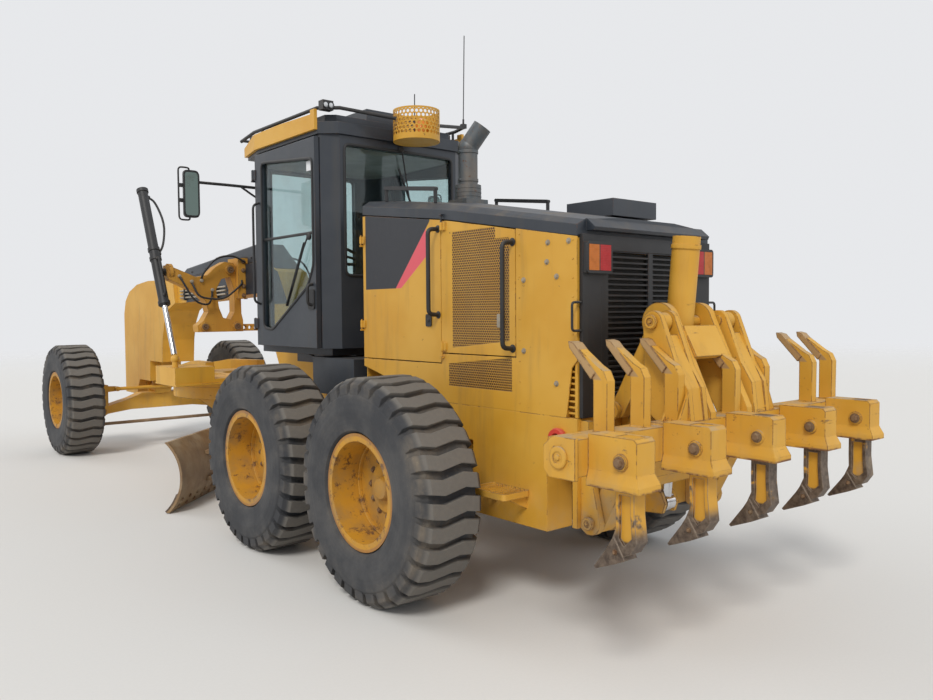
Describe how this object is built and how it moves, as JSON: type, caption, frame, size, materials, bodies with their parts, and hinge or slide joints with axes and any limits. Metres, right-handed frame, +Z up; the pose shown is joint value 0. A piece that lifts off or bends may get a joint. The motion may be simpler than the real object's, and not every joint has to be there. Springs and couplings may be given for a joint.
{
  "type": "motor grader",
  "caption": "Articulated motor grader with a gooseneck front frame, enclosed cab, leaning front wheels, a turning blade circle and a rear ripper.",
  "frame": {"origin": "on the ground, under the middle of the machine's outline", "axes": "-Y points ahead, +X to the machine's left, +Z up"},
  "size_m": [2.7743, 9.554, 4.0213],
  "materials": {
    "yellow_paint": "semi-gloss, dusty and chipped",
    "dark_paint": "satin",
    "black_paint": "satin",
    "black_plastic": "matte",
    "engine": "painted casting",
    "lamp_red": "ribbed lens",
    "exhaust": "heat-dulled",
    "seat_fabric": "woven",
    "cast_steel": "rusty casting",
    "blade_steel": "worn and rusty",
    "worn_steel": "worn paint over steel",
    "chrome": "polished",
    "tyre": "dusty rubber"
  },
  "bodies": {
    "rear_frame": {"rear_frame": "yellow_paint", "axle_housing": "yellow_paint", "tandem_case_left": "yellow_paint", "tandem_case_right": "yellow_paint", "engine_block": "engine", "hood_panels": "yellow_paint", "hood_top": "dark_paint", "rear_grille": "black_paint", "tail_lamps": "lamp_red", "exhaust_stack": "exhaust", "hood_rails": "black_paint", "ripper_bracket": "yellow_paint", "side_tanks": "dark_paint"},
    "front_frame": {"front_frame": "yellow_paint", "front_axle": "yellow_paint", "lift_arms": "yellow_paint", "cab_shell": "dark_paint", "cab_roof": "dark_paint", "roof_visor": "yellow_paint", "roof_rails": "black_paint", "antennas": "black_paint", "cab_seat": "seat_fabric", "mirrors": "black_plastic"},
    "engine_door_left": {"engine_door_left": "yellow_paint"},
    "engine_door_right": {"engine_door_right": "yellow_paint"},
    "mesh_door_left": {"mesh_door_left": "yellow_paint"},
    "mesh_door_right": {"mesh_door_right": "yellow_paint"},
    "cab_door_left": {"cab_door_left": "dark_paint"},
    "cab_door_right": {"cab_door_right": "dark_paint"},
    "lean_left": {"lean_bracket_left": "yellow_paint"},
    "lean_right": {"lean_bracket_right": "yellow_paint"},
    "steer_left": {"knuckle_left": "cast_steel"},
    "steer_right": {"knuckle_right": "cast_steel"},
    "lean_bar": {"lean_bar": "yellow_paint"},
    "tie_end": {"tie_end": "cast_steel"},
    "tie_rod": {"tie_rod": "cast_steel"},
    "drawbar": {"drawbar": "yellow_paint"},
    "circle": {"circle": "yellow_paint"},
    "blade_tilt": {"tilt_bracket": "yellow_paint"},
    "blade": {"blade": "blade_steel"},
    "lift_barrels": {"lift_barrels": "black_paint"},
    "lift_rods": {"lift_rods": "chrome"},
    "ripper_arms": {"ripper_arms": "yellow_paint"},
    "ripper_links": {"ripper_links": "yellow_paint"},
    "ripper_carrier": {"ripper_carrier": "yellow_paint", "ripper_shanks": "worn_steel"},
    "ripper_barrel": {"ripper_barrel": "yellow_paint"},
    "ripper_rod": {"ripper_rod": "chrome"},
    "wheel_front_left": {"tyre_front_left": "tyre", "rim_front_left": "yellow_paint"},
    "wheel_front_right": {"tyre_front_right": "tyre", "rim_front_right": "yellow_paint"},
    "wheel_mid_left": {"tyre_mid_left": "tyre", "rim_mid_left": "yellow_paint"},
    "wheel_mid_right": {"tyre_mid_right": "tyre", "rim_mid_right": "yellow_paint"},
    "wheel_rear_left": {"tyre_rear_left": "tyre", "rim_rear_left": "yellow_paint"},
    "wheel_rear_right": {"tyre_rear_right": "tyre", "rim_rear_right": "yellow_paint"}
  },
  "joints": [
    {"name": "articulation", "type": "hinge", "parent": "rear_frame", "child": "front_frame", "pos_m": [0, 0.73, 1.01], "axis": [0, 0, 1], "range_deg": [-20, 20]},
    {"name": "engine_door_left", "type": "hinge", "parent": "rear_frame", "child": "engine_door_left", "pos_m": [0.606, 1.874, 1.94], "axis": [0, 0, -1], "range_deg": [0, 75]},
    {"name": "engine_door_right", "type": "hinge", "parent": "rear_frame", "child": "engine_door_right", "pos_m": [-0.606, 1.874, 1.94], "axis": [0, 0, 1], "range_deg": [0, 75]},
    {"name": "mesh_door_left", "type": "hinge", "parent": "rear_frame", "child": "mesh_door_left", "pos_m": [0.606, 2.805, 1.88], "axis": [0, 0, -1], "range_deg": [0, 75]},
    {"name": "mesh_door_right", "type": "hinge", "parent": "rear_frame", "child": "mesh_door_right", "pos_m": [-0.606, 2.805, 1.88], "axis": [0, 0, 1], "range_deg": [0, 75]},
    {"name": "cab_door_left", "type": "hinge", "parent": "front_frame", "child": "cab_door_left", "pos_m": [0.731, 0.414, 2.26], "axis": [0, 0, -1], "range_deg": [0, 80]},
    {"name": "cab_door_right", "type": "hinge", "parent": "front_frame", "child": "cab_door_right", "pos_m": [-0.731, 0.414, 2.26], "axis": [0, 0, 1], "range_deg": [0, 80]},
    {"name": "wheel_lean", "type": "hinge", "parent": "front_frame", "child": "lean_left", "pos_m": [0.74, -4.043, 0.5], "axis": [0, 1, 0], "range_deg": [-18, 18]},
    {"name": "wheel_lean_right", "type": "hinge", "parent": "front_frame", "child": "lean_right", "pos_m": [-0.74, -4.043, 0.5], "axis": [0, 1, 0], "range_deg": [-18, 18]},
    {"name": "lean_bar", "type": "hinge", "parent": "lean_left", "child": "lean_bar", "pos_m": [0.59, -3.863, 0.78], "axis": [0, 1, 0], "range_deg": [-22, 22]},
    {"name": "steering", "type": "hinge", "parent": "lean_left", "child": "steer_left", "pos_m": [0.82, -4.043, 0.672], "axis": [0, 0, 1], "range_deg": [-47.5, 47.5]},
    {"name": "steering_right", "type": "hinge", "parent": "lean_right", "child": "steer_right", "pos_m": [-0.82, -4.043, 0.672], "axis": [0, 0, 1], "range_deg": [-47.5, 47.5]},
    {"name": "tie_end", "type": "hinge", "parent": "steer_left", "child": "tie_end", "pos_m": [0.8, -3.843, 0.352], "axis": [0, 0, 1], "range_deg": [-50, 50]},
    {"name": "tie_rod", "type": "hinge", "parent": "tie_end", "child": "tie_rod", "pos_m": [0.8, -3.843, 0.352], "axis": [0, 1, 0], "range_deg": [-18, 18]},
    {"name": "wheel_front_left", "type": "hinge", "parent": "steer_left", "child": "wheel_front_left", "pos_m": [1.07, -4.043, 0.672], "axis": [1, 0, 0], "continuous": true},
    {"name": "wheel_front_right", "type": "hinge", "parent": "steer_right", "child": "wheel_front_right", "pos_m": [-1.07, -4.043, 0.672], "axis": [1, 0, 0], "continuous": true},
    {"name": "wheel_mid_left", "type": "hinge", "parent": "rear_frame", "child": "wheel_mid_left", "pos_m": [1.07, 1.3185, 0.672], "axis": [1, 0, 0], "continuous": true},
    {"name": "wheel_mid_right", "type": "hinge", "parent": "rear_frame", "child": "wheel_mid_right", "pos_m": [-1.07, 1.3185, 0.672], "axis": [1, 0, 0], "continuous": true},
    {"name": "wheel_rear_left", "type": "hinge", "parent": "rear_frame", "child": "wheel_rear_left", "pos_m": [1.07, 2.8415, 0.672], "axis": [1, 0, 0], "continuous": true},
    {"name": "wheel_rear_right", "type": "hinge", "parent": "rear_frame", "child": "wheel_rear_right", "pos_m": [-1.07, 2.8415, 0.672], "axis": [1, 0, 0], "continuous": true},
    {"name": "drawbar_lift", "type": "hinge", "parent": "front_frame", "child": "drawbar", "pos_m": [0, -3.66, 0.96], "axis": [1, 0, 0], "range_deg": [-14.5, 9.5]},
    {"name": "circle_turn", "type": "hinge", "parent": "drawbar", "child": "circle", "pos_m": [0, -1.32, 0.96], "axis": [0, 0, 1], "continuous": true},
    {"name": "blade_tip", "type": "hinge", "parent": "circle", "child": "blade_tilt", "pos_m": [-0.16176, -1.14954, 0.26], "axis": [0.7254, 0.6884, 0], "range_deg": [-5, 40]},
    {"name": "blade_shift", "type": "slide", "parent": "blade_tilt", "child": "blade", "axis": [0.7254, 0.6884, 0], "range_m": [-0.575, 0.6]},
    {"name": "lift_barrels", "type": "hinge", "parent": "front_frame", "child": "lift_barrels", "pos_m": [1, -1.132, 2.129], "axis": [1, 0, 0], "range_deg": [-14, 9]},
    {"name": "lift_rods", "type": "slide", "parent": "lift_barrels", "child": "lift_rods", "axis": [0, 0.4275, -0.904], "range_m": [-0.47, 0.71]},
    {"name": "ripper_lift", "type": "hinge", "parent": "rear_frame", "child": "ripper_arms", "pos_m": [0.47, 4.01, 0.6], "axis": [-1, 0, 0], "range_deg": [0, 90]},
    {"name": "ripper_level", "type": "hinge", "parent": "ripper_arms", "child": "ripper_carrier", "pos_m": [0.47, 4.275, 1.08], "axis": [-1, 0, 0], "range_deg": [-90, 0]},
    {"name": "ripper_links", "type": "hinge", "parent": "rear_frame", "child": "ripper_links", "pos_m": [0.292, 3.995, 1.185], "axis": [-1, 0, 0], "range_deg": [0, 90]},
    {"name": "ripper_barrel", "type": "hinge", "parent": "ripper_carrier", "child": "ripper_barrel", "pos_m": [0, 4.165, 1.66], "axis": [-1, 0, 0], "range_deg": [0, 44]},
    {"name": "ripper_rod", "type": "slide", "parent": "ripper_barrel", "child": "ripper_rod", "axis": [0, -0.0927, -0.9957], "range_m": [-0.64, 0]}
  ],
  "couplings": [
    {"joint": "wheel_lean_right", "follows": "wheel_lean", "ratio": 1},
    {"joint": "lean_bar", "follows": "wheel_lean", "ratio": -1.19},
    {"joint": "steering_right", "follows": "steering", "ratio": 1},
    {"joint": "tie_end", "follows": "steering", "ratio": -1.02},
    {"joint": "tie_rod", "follows": "wheel_lean", "ratio": -0.926},
    {"joint": "lift_barrels", "follows": "drawbar_lift", "ratio": 0.9},
    {"joint": "lift_rods", "follows": "drawbar_lift", "m_per_rad": -2.79},
    {"joint": "ripper_level", "follows": "ripper_lift", "ratio": -1},
    {"joint": "ripper_links", "follows": "ripper_lift", "ratio": 1},
    {"joint": "ripper_barrel", "follows": "ripper_lift", "ratio": 0.479},
    {"joint": "ripper_rod", "follows": "ripper_lift", "m_per_rad": -0.389}
  ]
}
